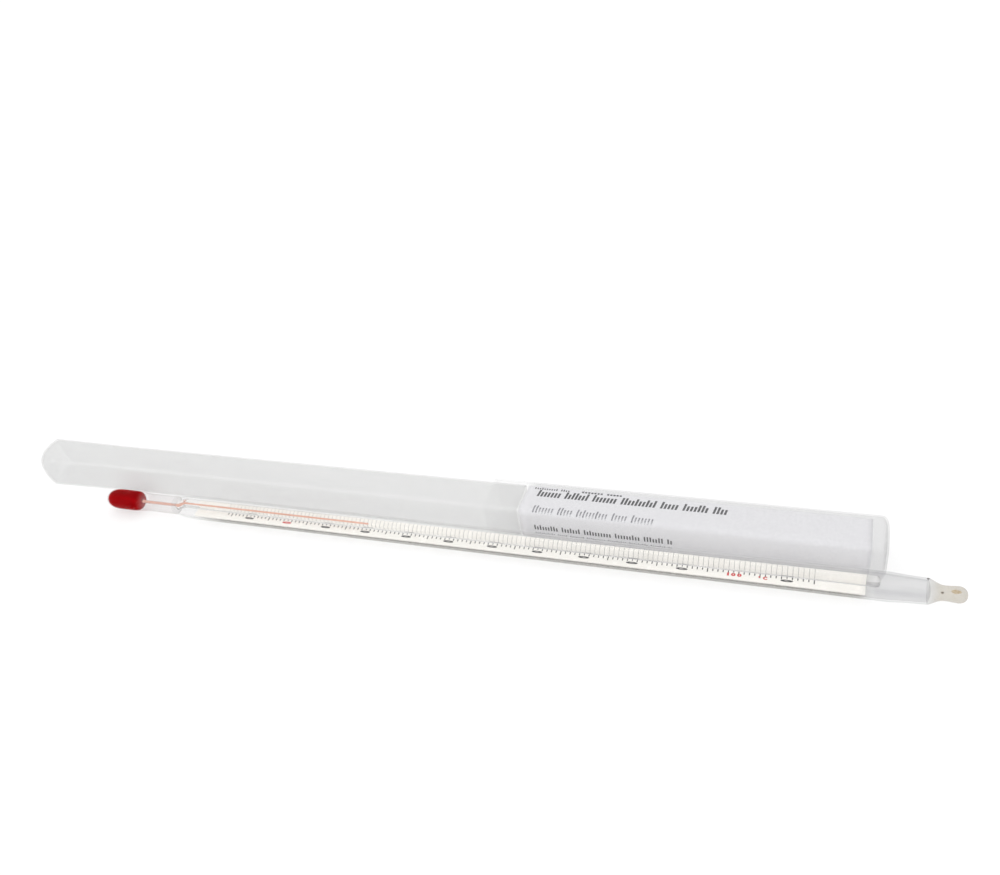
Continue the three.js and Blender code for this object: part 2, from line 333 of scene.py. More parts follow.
PRINT_GREY = solid_material(
    "print_grey", (0.16, 0.16, 0.18), (0.3, 0.3, 0.32), scale=3500, rough=(0.6, 0.8))
SPECK = solid_material(
    "dark_speck", (0.03, 0.02, 0.02), (0.08, 0.05, 0.045), scale=3000, rough=(0.4, 0.7))
AMBER = solid_material(
    "amber_scale", (0.42, 0.29, 0.15), (0.68, 0.57, 0.41), scale=1800, rough=(0.4, 0.7), bump_mm=0.05)


# ---------- meshes ----------

WELD_WITHIN, SLIVER = 1e-7, 1e-8  # metres


def mesh_object(name, points, faces, material, slot, body, smooth=True):
    mesh = bpy.data.meshes.new(name)
    mesh.from_pydata([tuple(Vector(p) * MM) for p in points], [], faces)
    work = bmesh.new()
    work.from_mesh(mesh)
    bmesh.ops.remove_doubles(work, verts=work.verts, dist=WELD_WITHIN)
    bmesh.ops.dissolve_degenerate(work, edges=work.edges, dist=SLIVER)
    for face in work.faces:
        face.smooth = smooth
    work.to_mesh(mesh)
    work.free()
    mesh.materials.append(material)
    obj = bpy.data.objects.new(name, mesh)
    bpy.context.scene.collection.objects.link(obj)
    if body:
        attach(obj, body)
    return obj


def skinned(rings):
    """Points and faces over rings of the same count, with outward normals where they run along +X."""
    faces = []
    count = len(rings[0])
    for i in range(len(rings) - 1):
        for j in range(count):
            a = i * count
            k = (j + 1) % count
            faces.append((a + j, a + k, a + count + k, a + count + j))
    return [p for ring in rings for p in ring], faces


def curve_through(points, steps=4):
    """A smooth line through [station, radius] points (centripetal Catmull-Rom)."""
    pts = [Vector(p) for p in points]
    ext = [2 * pts[0] - pts[1]] + pts + [2 * pts[-1] - pts[-2]]
    line = []
    for i in range(1, len(ext) - 2):
        p0, p1, p2, p3 = ext[i - 1:i + 3]
        t0 = 0.0
        t1 = t0 + max(1e-6, (p1 - p0).length ** 0.5)
        t2 = t1 + max(1e-6, (p2 - p1).length ** 0.5)
        t3 = t2 + max(1e-6, (p3 - p2).length ** 0.5)
        for k in range(steps):
            t = t1 + (t2 - t1) * k / steps
            a1 = (t1 - t) / (t1 - t0) * p0 + (t - t0) / (t1 - t0) * p1
            a2 = (t2 - t) / (t2 - t1) * p1 + (t - t1) / (t2 - t1) * p2
            a3 = (t3 - t) / (t3 - t2) * p2 + (t - t2) / (t3 - t2) * p3
            b1 = (t2 - t) / (t2 - t0) * a1 + (t - t0) / (t2 - t0) * a2
            b2 = (t3 - t) / (t3 - t1) * a2 + (t - t1) / (t3 - t1) * a3
            line.append((t2 - t) / (t2 - t1) * b1 + (t - t1) / (t2 - t1) * b2)
    line.append(pts[-1])
    return [(p.x, max(0.0, p.y)) for p in line]


def turned_rings(profile, sides, rise=None):
    """Rings about the thermometer's axis; rise gives the height of the centre line at a station."""
    rings = []
    angles = [TAU * j / sides for j in range(sides)]
    for station, radius in profile:
        lift = rise(station) if rise else 0.0
        rings.append([at(station, radius * math.cos(a), lift + radius * math.sin(a)) for a in angles])
    return rings


# ---------- thermometer: glass ----------

# Profiles are (station, radius), along the outside and then, where there is a hollow, back along it.
SIDES, NECK_SIDES = 96, 72
STEM_R, STEM_INNER_R = 3.8, 3.3
NECK_R = 2.88
BULB_AND_NECK = [
    (0.85, 0), (0.95, 0.95), (1.35, 1.88), (2.1, 2.6), (3.2, 3.05), (4.6, 3.29), (6.4, 3.36), (9.5, 3.36),
    (12, 3.32), (13.8, 3.16), (15.6, 2.98), (18, NECK_R), (22, NECK_R), (26, NECK_R), (27.8, NECK_R),
]
BULB_CAVITY = [
    (27.8, 0.45), (22, 0.5), (16.6, 0.52), (15.0, 0.62), (14.4, 1.0), (14.1, 1.8), (13.8, 2.5),
    (13.2, 2.98), (12.2, 3.18), (9.5, 3.24), (6.4, 3.24), (4.6, 3.14), (3.3, 2.86), (2.2, 2.36), (1.6, 1.7),
    (1.18, 0.85), (1.1, 0),
]
ROD_R = 1.5
ROD_START, ROD_END = 28.2, 240.0
STEP_START, STEP_END, STEP_RISE = 28.2, 32.2, 1.45
BEND_STEPS = 18


def thread_rise(station):
    """Height of the rod and of the thread in it, which step up from the axis just above the neck."""
    t = min(1.0, max(0.0, (station - STEP_START) / (STEP_END - STEP_START)))
    return STEP_RISE * t * t * (3 - 2 * t)


bulb_profile = curve_through(BULB_AND_NECK, 5) + curve_through(BULB_CAVITY, 4)
bulb_rings = turned_rings(bulb_profile, NECK_SIDES)
bulb_glass = mesh_object("bulb_and_neck", *skinned(bulb_rings), BULB_GLASS, "clear_glass", "thermometer")
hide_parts("bulb_shell")

rod_profile = [(ROD_START - 0.4, 0), (ROD_START - 0.35, 0.6), (ROD_START - 0.1, 1.1),
               (ROD_START + 0.3, 1.4)]
rod_profile += [(STEP_START + 0.5 + (STEP_END - STEP_START) * k / BEND_STEPS, ROD_R)
                for k in range(BEND_STEPS + 1)]
rod_profile += [(station, ROD_R) for station in (40, 90, 140, 190, 235, 238.8)]
rod_profile += [(239.5, 1.35), (239.9, 0.9), (ROD_END, 0)]
rod_rings = turned_rings(rod_profile, NECK_SIDES, thread_rise)
rod = mesh_object("capillary_rod", *skinned(rod_rings), ROD_GLASS, "clear_glass", "thermometer")
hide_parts("capillary_tube")

SHEATH_OUTER = [
    (27.8, 2.93), (28.6, 2.99), (29.6, 3.12), (30.8, 3.3), (32.4, 3.55), (34, 3.73), (35.6, STEM_R),
    (38, STEM_R), (90, STEM_R), (160, STEM_R), (238, STEM_R), (240.5, STEM_R), (242.4, 3.77), (244.6, 3.6),
    (247, 3.46), (249.2, 3.37), (250.9, 3.29),
]
SHEATH_INNER = [
    (250.9, 2.79), (249, 2.9), (246.5, 3), (244, 3.12), (242, 3.24), (240, STEM_INNER_R),
    (236, STEM_INNER_R), (160, STEM_INNER_R), (90, STEM_INNER_R), (40, STEM_INNER_R), (37, 3.33),
    (34, 3.42), (32.4, 3.26), (30.4, 2.95), (28.8, 2.7), (27.8, 2.6),
]
sheath_profile = curve_through(SHEATH_OUTER, 4) + curve_through(SHEATH_INNER, 4)
sheath_rings = turned_rings(sheath_profile, SIDES)
sheath_rings.append(sheath_rings[0])
sheath = mesh_object("sheath_glass", *skinned(sheath_rings), GLASS, "clear_glass", "thermometer")
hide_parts("sheath_tube")

SEAL_PROFILE = [
    (251.6, 0), (251.57, 0.7), (251.45, 1.5), (251.2, 2.3), (250.95, 2.76), (250.95, 3.26), (251.6, 3.08),
    (252.3, 2.74), (252.9, 2.42), (253.8, 2.06), (254.8, 1.94), (256, 1.97), (257.2, 2.08), (258.2, 2.1),
    (259.1, 1.8), (259.7, 1.2), (259.94, 0.6), (260, 0),
]
seal_rings = turned_rings(curve_through(SEAL_PROFILE, 4), SIDES)
seal = mesh_object("drawn_down_end", *skinned(seal_rings), SEAL_GLASS, "clear_glass", "thermometer")
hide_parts("end_seal")


# ---------- thermometer: red liquid ----------

THREAD_R, NECK_THREAD_R, STEP_THREAD_R = 0.16, 0.42, 0.26
THREAD_SIDES, RESERVOIR_SIDES = 20, 64
STEP_STEPS, COLUMN_STEPS = 20, 80
STEP_LIQUID_START, COLUMN_START, COLUMN_END, COLUMN_TOP = 27.9, 34.1, 96.7, 97.5
TOP_START = COLUMN_END - 0.05
NECK_COLOUR_START = 14.5  # from here on the filling is a thread and has the thread's colour

reservoir_profile = curve_through([
    (1.15, 0), (1.24, 0.82), (1.66, 1.64), (2.35, 2.32), (3.4, 2.82), (4.7, 3.1), (6.4, 3.2), (9.5, 3.2),
    (12.1, 3.14), (13.0, 2.94), (13.55, 2.45), (13.85, 1.65), (14.1, 0.9), (14.7, 0.5),
    (16.4, NECK_THREAD_R)], 5)
reservoir_profile += [(20, NECK_THREAD_R), (24, NECK_THREAD_R), (26.5, 0.36),
                      (STEP_LIQUID_START, STEP_THREAD_R), (STEP_LIQUID_START, 0)]
reservoir_rings = turned_rings(reservoir_profile, RESERVOIR_SIDES)
reservoir = mesh_object("bulb_filling", *skinned(reservoir_rings), BULB_RED, "red_liquid", "thermometer")
reservoir.data.materials.append(THREAD_RED)
NECK_FROM = at(NECK_COLOUR_START).x * MM
for face in reservoir.data.polygons:
    if face.center.x > NECK_FROM:
        face.material_index = 1
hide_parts("bulb_liquid")


def thread_piece(name, profile, body):
    rings = turned_rings(profile, THREAD_SIDES, thread_rise)
    return mesh_object(name, *skinned(rings), THREAD_RED, "red_liquid", body)


step_profile = [(STEP_LIQUID_START, 0), (STEP_LIQUID_START, STEP_THREAD_R)]
step_profile += [(STEP_LIQUID_START + (COLUMN_START - STEP_LIQUID_START) * k / STEP_STEPS,
                  THREAD_R + (STEP_THREAD_R - THREAD_R) * (1 - k / STEP_STEPS))
                 for k in range(1, STEP_STEPS + 1)]
step_profile += [(COLUMN_START, 0)]
step = thread_piece("thread_step", step_profile, "thermometer")
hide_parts("liquid_step")

column_profile = [(COLUMN_START, 0), (COLUMN_START, THREAD_R)]
column_profile += [(COLUMN_START + (COLUMN_END - COLUMN_START) * k / COLUMN_STEPS, THREAD_R)
                   for k in range(1, COLUMN_STEPS + 1)]
column_profile += [(COLUMN_END, 0)]
column = thread_piece("thread_column", column_profile, None)
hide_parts("liquid_column")
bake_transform(column)

meniscus_profile = [(TOP_START, 0)] + curve_through(
    [(TOP_START, THREAD_R), (97.2, THREAD_R), (97.4, 0.14), (97.48, 0.08), (COLUMN_TOP, 0)], 3)
meniscus = thread_piece("thread_top", meniscus_profile, "reading")
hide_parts("meniscus")


# ---------- thermometer: scale plate and its print ----------

PLATE_START, PLATE_END = 36.0, 236.6
PLATE_WIDTH, PLATE_THICK, PLATE_FACE, PLATE_EDGE = 5.8, 0.8, -0.2, 0.16
PLATE_BEVEL, PLATE_DISH = 0.12, 0.1


def plate_section(inset):
    """The plate's rounded rectangle across the stem, made smaller all round by inset."""
    h, t, e = PLATE_WIDTH / 2 - inset, PLATE_THICK - 2 * inset, PLATE_EDGE
    top = PLATE_FACE - inset
    foot = top - t + e
    ring = []
    for cy, cz, a0 in ((h - e, top - e, 0), (-h + e, top - e, 90), (-h + e, foot, 180), (h - e, foot, 270)):
        for k in range(4):
            a = math.radians(a0 + 30 * k)
            ring.append((cy + e * math.cos(a), cz + e * math.sin(a)))
    return ring


def plate_ring(station, inset):
    return [at(station, y, z) for y, z in plate_section(inset)]


def plate_middle(station):
    """A ring drawn together to one point, which closes an end."""
    return [at(station, 0, PLATE_FACE - PLATE_THICK / 2)] * len(plate_section(0))


plate_rings = [plate_middle(PLATE_START + PLATE_DISH)]
plate_rings += [plate_ring(PLATE_START, PLATE_BEVEL), plate_ring(PLATE_START + PLATE_BEVEL, 0)]
plate_rings += [plate_ring(PLATE_START + 10 * k, 0) for k in range(1, 20)]
plate_rings += [plate_ring(PLATE_END - PLATE_BEVEL, 0), plate_ring(PLATE_END, PLATE_BEVEL)]
plate_rings += [plate_middle(PLATE_END - PLATE_DISH)]
plate = mesh_object("scale_plate_opal", *skinned(plate_rings), MILK, "milk_glass", "thermometer",
                    smooth=False)
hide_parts("scale_plate")

# The scale, measured in the photo: the length of ten degrees, and where 0 stands in such lengths.
TEN_DEGREES = 13.4645
ZERO_TENS = 5.161
PRINT_Z = PLATE_FACE
PRINT_THICK, PRINT_SUNK, PRINT_CORNER = 0.02, 0.005, 0.04
TICK_LOW, TICK_HIGH = -16, 115
# A tick is heavy at the near side and fine beyond its waist; it is shorter where a numeral stands.
NEAR_TICK_WIDTH, FAR_TICK_WIDTH = 0.27, 0.08
SHORT_REACH, LONG_REACH, NUMERAL_REACH, FAR_REACH = 1.35, 1.85, 1.05, 1.9
TICK_WAIST = -0.5
UNEVEN = 0.04


def degree_station(degrees):
    return (degrees / 10 + ZERO_TENS) * TEN_DEGREES


def stroke(points, faces, s0, s1, y0, y1):
    """A flat printed mark with softened corners, standing a hair above the plate."""
    c = min(PRINT_CORNER, (s1 - s0) / 3, (y1 - y0) / 3)
    outline = [(s0 + c, y0), (s1 - c, y0), (s1, y0 + c), (s1, y1 - c),
               (s1 - c, y1), (s0 + c, y1), (s0, y1 - c), (s0, y0 + c)]
    base = len(points)
    n = len(outline)
    for height in (PRINT_Z - PRINT_SUNK, PRINT_Z + PRINT_THICK):
        points += [at(s, y, height) for s, y in outline]
    faces.append([base + n + k for k in range(n)])
    faces.append([base + k for k in reversed(range(n))])
    for k in range(n):
        m = (k + 1) % n
        faces.append((base + k, base + m, base + n + m, base + n + k))


tick_points, tick_faces = [], []
random.seed(11)
for degree in range(TICK_LOW, TICK_HIGH + 1):
    reach = (SHORT_REACH if degree % 5 else LONG_REACH) + random.uniform(-UNEVEN, UNEVEN)
    if degree % 10 == 0:
        reach = NUMERAL_REACH
    middle = degree_station(degree)
    near, far = NEAR_TICK_WIDTH / 2, FAR_TICK_WIDTH / 2
    stroke(tick_points, tick_faces, middle - near, middle + near, -reach, TICK_WAIST)
    stroke(tick_points, tick_faces, middle - far, middle + far, TICK_WAIST, FAR_REACH)
mesh_object("scale_ticks", tick_points, tick_faces, INK, "milk_glass", "thermometer", smooth=False)

DIGIT_HEIGHT, DIGIT_WIDTH = 3.2, 0.75
NARROW_WIDTH, MINUS_HEIGHT = 0.3, 0.35
# Places across the plate for numerals of one, two and three characters. The last character is the nearest.
DIGIT_CENTRES = {1: (-1.8,), 2: (2.35, -1.8), 3: (2.62, 2.1, -1.8)}


def glyph(name, text, station, y, height, width, along=False):
    """Points and faces of one character: its top points along the stem, or with along it reads along it."""
    curve = bpy.data.curves.new(name + "_curve", "FONT")
    curve.body = text
    curve.offset = 0.06  # bolder
    curve.extrude = 0.01
    curve.resolution_u = 3
    source = bpy.data.objects.new(name + "_source", curve)
    bpy.context.scene.collection.objects.link(source)
    bpy.context.view_layer.update()
    mesh = bpy.data.meshes.new_from_object(source.evaluated_get(bpy.context.evaluated_depsgraph_get()))
    bpy.data.objects.remove(source)
    bpy.data.curves.remove(curve)
    xs = [v.co.x for v in mesh.vertices]
    ys = [v.co.y for v in mesh.vertices]
    cx, cy = (min(xs) + max(xs)) / 2, (min(ys) + max(ys)) / 2
    kx, ky = width / max(1e-6, max(xs) - min(xs)), height / max(1e-6, max(ys) - min(ys))
    low, high = PRINT_Z - 0.05 * PRINT_THICK, PRINT_Z + 1.05 * PRINT_THICK
    pts = []
    for v in mesh.vertices:
        a, b = (v.co.x - cx) * kx, (v.co.y - cy) * ky
        z = high if v.co.z > 0 else low
        pts.append(at(station + a, y + b, z) if along else at(station + b, y - a, z))
    fcs = [list(p.vertices) for p in mesh.polygons]
    bpy.data.meshes.remove(mesh)
    return pts, fcs


def printed(name, glyphs, material):
    """One piece of print, made of the points and faces of its characters."""
    points, faces = [], []
    for pts, fcs in glyphs:
        base = len(points)
        points += pts
        faces += [[base + i for i in f] for f in fcs]
    mesh_object(name, points, faces, material, "milk_glass", "thermometer", smooth=False)


def numerals(name, degrees, material):
    glyphs = []
    for degree in degrees:
        text = str(degree)
        for char, y in zip(text, DIGIT_CENTRES[len(text)]):
            height = MINUS_HEIGHT if char == "-" else DIGIT_HEIGHT
            width = NARROW_WIDTH if char in "1-" else DIGIT_WIDTH
            glyphs.append(glyph(name, char, degree_station(degree), y, height, width))
    printed(name, glyphs, material)


numerals("scale_numerals_black", (-10, *range(10, 100, 10), 110), INK)
numerals("scale_numerals_red", (0,), RED_INK)

# The 100 and the unit, printed in red along the near side, as (character, degrees, y, height, width).
RED_WORDS = (("1", 99.0, -1.75, 1.05, 0.5), ("0", 100.0, -1.75, 1.05, 1.15),
             ("0", 101.15, -1.75, 1.05, 1.15), ("°", 104.9, -1.55, 0.5, 0.5), ("C", 106.0, -1.75, 1.0, 1.1))
printed("scale_words_red", [glyph("red_word", char, degree_station(degree), y, height, width, True)
                            for char, degree, y, height, width in RED_WORDS], RED_INK)


# ---------- thermometer: specks in the drawn-down top ----------

BLOB_RINGS, BLOB_SIDES = 12, 16


def blob(name, station, y, z, size, material, seed):
    """A small lumpy inclusion in the glass, size in millimetres along, across and up."""
    random.seed(seed)
    phase = [random.uniform(0, TAU) for _ in range(3)]
    rings = []
    for i in range(BLOB_RINGS + 1):
        a = math.pi * i / BLOB_RINGS
        ring = []
        for j in range(BLOB_SIDES):
            b = TAU * j / BLOB_SIDES
            k = 1 + 0.18 * math.sin(3 * a + phase[0]) * math.cos(2 * b + phase[1])
            k += 0.1 * math.sin(4 * b + phase[2])
            ring.append(at(station - size[0] * math.cos(a), y + size[1] * k * math.sin(a) * math.cos(b),
                           z + size[2] * k * math.sin(a) * math.sin(b)))
        rings.append(ring)
    mesh_object(name, *skinned(rings), material, "clear_glass", "thermometer")


blob("speck_in_knob_neck", 254.2, -0.35, 0.5, size=(0.36, 0.28, 0.24), material=SPECK, seed=3)
blob("amber_in_knob", 257.4, 0.5, 0.4, size=(1.2, 0.5, 0.35), material=AMBER, seed=5)
blob("speck_on_shoulder", 250.9, 2.25, 2.1, size=(0.3, 0.25, 0.15), material=SPECK, seed=7)


# ---------- storage case ----------

CORNER_STEPS = 7
FLAT_STEPS = 6
CORNER_SIGNS = ((1, 1), (-1, 1), (-1, -1), (1, -1))


def square_ring(x, centre, width, corner, sag):
    """A rounded square across X, with walls that bow inwards by sag."""
    c = width / 2 - corner

    def on_corner(k, a):
        sy, sz = CORNER_SIGNS[k % 4]
        y = centre.y + sy * c + corner * math.cos(a)
        z = centre.z + sz * c + corner * math.sin(a)
        return Vector((x, y, z))

    ring = []
    for k in range(4):
        for j in range(CORNER_STEPS + 1):
            ring.append(on_corner(k, math.radians(90 * k + 90 * j / CORNER_STEPS)))
        a = math.radians(90 * (k + 1))
        start, end = ring[-1].copy(), on_corner(k + 1, a)
        inward = Vector((0, -math.cos(a), -math.sin(a)))
        for j in range(1, FLAT_STEPS):
            t = j / FLAT_STEPS
            ring.append(start.lerp(end, t) + inward * sag * 4 * t * (1 - t))
    return ring


# The cap's end: shares of its flat face that get rings, and how far the middle of the face is pressed in.
END_SHARES = (0.0, 0.35, 0.7, 0.9)
MIN_SHARE = 1e-4
FACE_INSET, INNER_FACE_INSET = 0.12, 0.1
END_WALL = 1.3  # of the wall's thickness
INNER_ROUNDING_LESS = 0.2
ROUND_STEPS = 10

# The body's end follows its outline in the photo: it is set back and askew, and the last part of the body
# is wider than the rest and a little lower. The lengths say where skew and flare have faded out.
END_SETBACK = 0.8
SKEW, SKEW_LENGTH = 0.186, 12.0
FLARE, DROOP, FLARE_LENGTH = 0.075, 0.3, 35.0
DOME_STEPS = 16
MIN_DEPTH = 1e-12

MIN_INNER_CORNER = 0.3
WALL_SHARES = (0.04, 0.07, 0.1, 0.15, 0.2, 0.3, 0.45, 0.6, 0.75, 0.9, 0.97)
FLARED_WALL_SHARES = (0.021, 0.03) + WALL_SHARES
LIP = ((0.1, 0.0), (0.03, 0.03), (0.0, 0.1))  # (distance from the mouth, how far the wall is thinned)


def rounded_end(width, corner, start, end, centre_inset):
    """(distance, width, corner) of the sections of the cap's end, from its middle to its straight walls.

    The end is (rounding, corner radius at the end face).
    """
    rounding, end_corner = end
    flat_width = width - 2 * rounding
    face_corner = min(end_corner, flat_width / 2)
    sections = []
    for share in END_SHARES:
        size = max(share, MIN_SHARE)
        sections.append((start + centre_inset * share ** 2, flat_width * size, face_corner * size))
    for k in range(ROUND_STEPS + 1):
        a = math.pi / 2 * k / ROUND_STEPS
        along = (rounding - centre_inset) * (1 - math.cos(a)) + centre_inset
        drawn_in = 1 - math.sin(a)
        across = width - 2 * rounding * drawn_in
        rounder = corner + (end_corner - corner) * drawn_in
        sections.append((start + along, across, min(across / 2, rounder)))
    return sections


def domed_end(width, corner, start, end):
    """The same for the body's end, which is (length, power of its outline, power of its corners)."""
    length, outline, corners = end
    sections = []
    for k in range(DOME_STEPS + 1):
        t = max((k / DOME_STEPS) ** 2, MIN_DEPTH)
        half = width / 2 * (1 - (1 - t) ** outline) ** (1 / outline)
        rounder = corner + (width / 2 - corner) * (1 - t) ** corners
        sections.append((start + length * t, 2 * half, min(half, rounder)))
    return sections


def flare_ring(ring, along, centre):
    """Turns a section of the body askew, widens it and lowers it, by how near it is to the closed end."""
    flare = max(0.0, 1 - along / FLARE_LENGTH)
    for point in ring:
        point.x -= SKEW * (point.y - centre.y) * max(0.0, 1 - along / SKEW_LENGTH)
        point.y += FLARE * flare * (point.y - centre.y)
        point.z += FLARE * flare * (point.z - centre.z) - DROOP * flare


def case_half(name, node, body, closed_left, size, outer_end, material, bow):
    """A square tube, closed at its left (the body) or right end (the cap) and open at the other.

    The size is (width, wall, corner radius), and bow is how far the long walls bend inwards. The sections
    run from the middle of the closed end along the outside, round the lip and back along the inside.
    """
    low, high = box_mm(node)
    centre = (low + high) / 2
    closed, into = (low.x, 1) if closed_left else (high.x, -1)
    length = high.x - low.x
    width, wall, corner = size
    inner, inner_corner = width - 2 * wall, max(corner - wall, MIN_INNER_CORNER)

    if closed_left:
        shares = FLARED_WALL_SHARES
        outside = domed_end(width, corner, END_SETBACK, outer_end)
        inside = domed_end(inner, inner_corner, END_SETBACK + wall, outer_end)
    else:
        shares = WALL_SHARES
        inner_end = (outer_end[0] - INNER_ROUNDING_LESS, outer_end[1] - wall)
        outside = rounded_end(width, corner, 0.0, outer_end, FACE_INSET)
        inside = rounded_end(inner, inner_corner, wall * END_WALL, inner_end, INNER_FACE_INSET)
    sections = [(*section, 0.0) for section in outside]
    sections += [(length * t, width, corner, bow * math.sin(math.pi * t)) for t in shares]
    sections += [(length - back, width - 2 * inset, corner, 0) for back, inset in LIP]
    sections += [(length - back, inner + 2 * inset, inner_corner, 0) for back, inset in reversed(LIP)]
    sections += [(length * t, inner, inner_corner, bow * math.sin(math.pi * t)) for t in reversed(shares)]
    sections += [(*section, 0.0) for section in reversed(inside)]

    rings = [square_ring(closed + into * along, centre, w, c, sag) for along, w, c, sag in sections]
    if closed_left:
        for ring, (along, *_) in zip(rings, sections):
            flare_ring(ring, along, centre)
    points, faces = skinned(rings)
    if not closed_left:
        faces = [tuple(reversed(face)) for face in faces]
    obj = mesh_object(name, points, faces, material, "clear_plastic", body)
    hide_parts(node)


case_half("case_body_tube", "case_body", "storage_body", closed_left=True, size=(10.8, 0.35, 0.7),
          outer_end=(2.1, 8.0, 0.92), material=BODY_PLASTIC, bow=0.1)
case_half("case_cap_tube", "case_cap", "storage_cap", closed_left=False, size=(12.3, 0.35, 0.9),
          outer_end=(1.9, 2.3), material=CAP_PLASTIC, bow=0.08)


# ---------- folded paper label ----------

label_low, label_high = box_mm("label_insert")
LABEL_MID = (label_low + label_high) / 2
LABEL_WIDER = 0.4  # than in the CAD
LABEL_W = label_high.y - label_low.y + LABEL_WIDER
PAPER_THICK = 0.16
FRONT_FOLD_R, BACK_FOLD_R, BACK_FOOT_R, FRONT_FOOT_R = 1.9, 1.2, 0.8, 1.0
SEAM_START, SEAM_END = 3.7, 2.5


def label_path():
    """The section of the folded sheet, from one edge of its seam round to the other, as (y, z, normal)."""
    h = LABEL_W / 2
    y0, z0 = LABEL_MID.y, LABEL_MID.z
    path = []

    def line(a, b, n, steps):
        for k in range(steps):
            t = k / steps
            path.append((y0 + a[0] + (b[0] - a[0]) * t, z0 + a[1] + (b[1] - a[1]) * t, n))

    def arc(cy, cz, r, start, end, steps):
        for k in range(steps):
            a = math.radians(start + (end - start) * k / steps)
            path.append((y0 + cy + r * math.cos(a), z0 + cz + r * math.sin(a), (math.cos(a), math.sin(a))))

    front, back, back_foot, front_foot = FRONT_FOLD_R, BACK_FOLD_R, BACK_FOOT_R, FRONT_FOOT_R
    line((SEAM_START, -h), (h - back_foot, -h), (0, -1), 2)
    arc(h - back_foot, -h + back_foot, back_foot, -90, 0, 6)
    line((h, -h + back_foot), (h, h - back), (1, 0), 10)
    arc(h - back, h - back, back, 0, 90, 8)
    line((h - back, h), (-h + front, h), (0, 1), 14)
    arc(-h + front, h - front, front, 90, 180, 12)
    line((-h, h - front), (-h, -h + front_foot), (-1, 0), 12)
    arc(-h + front_foot, -h + front_foot, front_foot, 180, 270, 6)
    line((-h + front_foot, -h), (SEAM_END, -h), (0, -1), 8)
    path.append((y0 + SEAM_END, z0 - h, (0, -1)))
    return path


LABEL_PATH = label_path()
LABEL_STEPS = [0.0]
for first, second in zip(LABEL_PATH, LABEL_PATH[1:]):
    LABEL_STEPS.append(LABEL_STEPS[-1] + math.hypot(second[0] - first[0], second[1] - first[1]))

RIPPLE = 0.05


def label_ripple(x, v):
    """How far the sheet stands off its plain shape, which is never outwards."""
    return RIPPLE * noise.noise(Vector((x * 0.05, v * 0.12, 3.0))) - RIPPLE


def label_at(x, v, lift=0.0):
    """A point on the sheet's outer face: x along the case, v round the section from the seam."""
    v = min(max(v, 0.0), LABEL_STEPS[-1])
    i = 0
    while i < len(LABEL_STEPS) - 2 and LABEL_STEPS[i + 1] < v:
        i += 1
    t = (v - LABEL_STEPS[i]) / max(1e-9, LABEL_STEPS[i + 1] - LABEL_STEPS[i])
    (ya, za, na), (yb, zb, nb) = LABEL_PATH[i], LABEL_PATH[i + 1]
    ny, nz = na[0] + (nb[0] - na[0]) * t, na[1] + (nb[1] - na[1]) * t
    size = math.hypot(ny, nz)
    off = lift + label_ripple(x, v)
    return Vector((x, ya + (yb - ya) * t + ny / size * off, za + (zb - za) * t + nz / size * off))


LABEL_X0, LABEL_X1 = label_low.x, label_high.x
LABEL_RINGS = 56
EDGE_OUT = 0.4
NOTCH, NOTCH_AT, NOTCH_HALF = 0.6, 13, 9


def label_left(v):
    """The left edge of the sheet, which is cut a little askew."""
    return LABEL_X0 - EDGE_OUT + NOTCH * max(0.0, 1 - abs(v - NOTCH_AT) / NOTCH_HALF)


label_rings = []
for i in range(LABEL_RINGS + 1):
    t = i / LABEL_RINGS
    ring = []
    for steps, lift in ((LABEL_STEPS, 0.0), (LABEL_STEPS[::-1], -PAPER_THICK)):
        ring += [label_at(label_left(v) + (LABEL_X1 - label_left(v)) * t, v, lift) for v in steps]
    label_rings.append(ring)
label_points, label_faces = skinned(label_rings)
half_count = len(LABEL_STEPS)
for ring_index, flip in ((0, False), (LABEL_RINGS, True)):
    base = ring_index * half_count * 2
    for j in range(half_count - 1):
        quad = (base + j, base + 2 * half_count - 1 - j, base + 2 * half_count - 2 - j, base + j + 1)
        label_faces.append(tuple(reversed(quad)) if flip else quad)
label = mesh_object("label_sleeve", label_points, label_faces, PAPER, "label_paper", "storage_cap")
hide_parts("label_insert")

FACE_FROM = 3  # the top and front faces are further than this from the label's middle


def v_beside(axis, value, on_face):
    """How far round the section a point of one face lies, from its y (axis 0) or its z (axis 1)."""
    face = [i for i, point in enumerate(LABEL_PATH) if on_face(point)]
    best = min(face, key=lambda i: abs(LABEL_PATH[i][axis] - value))
    return LABEL_STEPS[best] - (value - LABEL_PATH[best][axis])


def v_on_top(y):
    return v_beside(0, y, lambda point: point[1] > LABEL_MID.z + FACE_FROM)


def v_on_front(z):
    return v_beside(1, z, lambda point: point[0] < LABEL_MID.y - FACE_FROM)


BAR_STEP, BAR_TOP, BAR_FOOT = 0.4, 0.012, -0.01


def bar(points, faces, x0, x1, v0, v1, slant):
    """A printed bar on the sheet that follows its fold."""
    steps = max(1, int(abs(v1 - v0) / BAR_STEP))
    base = len(points)
    for k in range(steps + 1):
        v = v0 + (v1 - v0) * k / steps
        shift = slant * (v1 - v)
        for x in (x0 + shift, x1 + shift):
            points += [label_at(x, v, BAR_TOP), label_at(x, v, BAR_FOOT)]
    for k in range(steps):
        a = base + 4 * k
        faces += [(a, a + 4, a + 6, a + 2), (a + 1, a + 3, a + 7, a + 5),
                  (a, a + 1, a + 5, a + 4), (a + 2, a + 6, a + 7, a + 3)]
    for a, flip in ((base, False), (base + 4 * steps, True)):
        quad = (a, a + 2, a + 3, a + 1)
        faces.append(tuple(reversed(quad)) if flip else quad)


WORD_LENGTHS = (5, 7, 9, 10)
TALL_SHARE, LOW_HEIGHT = 0.25, 0.72
WORD_GAP = 1.1  # of the pitch


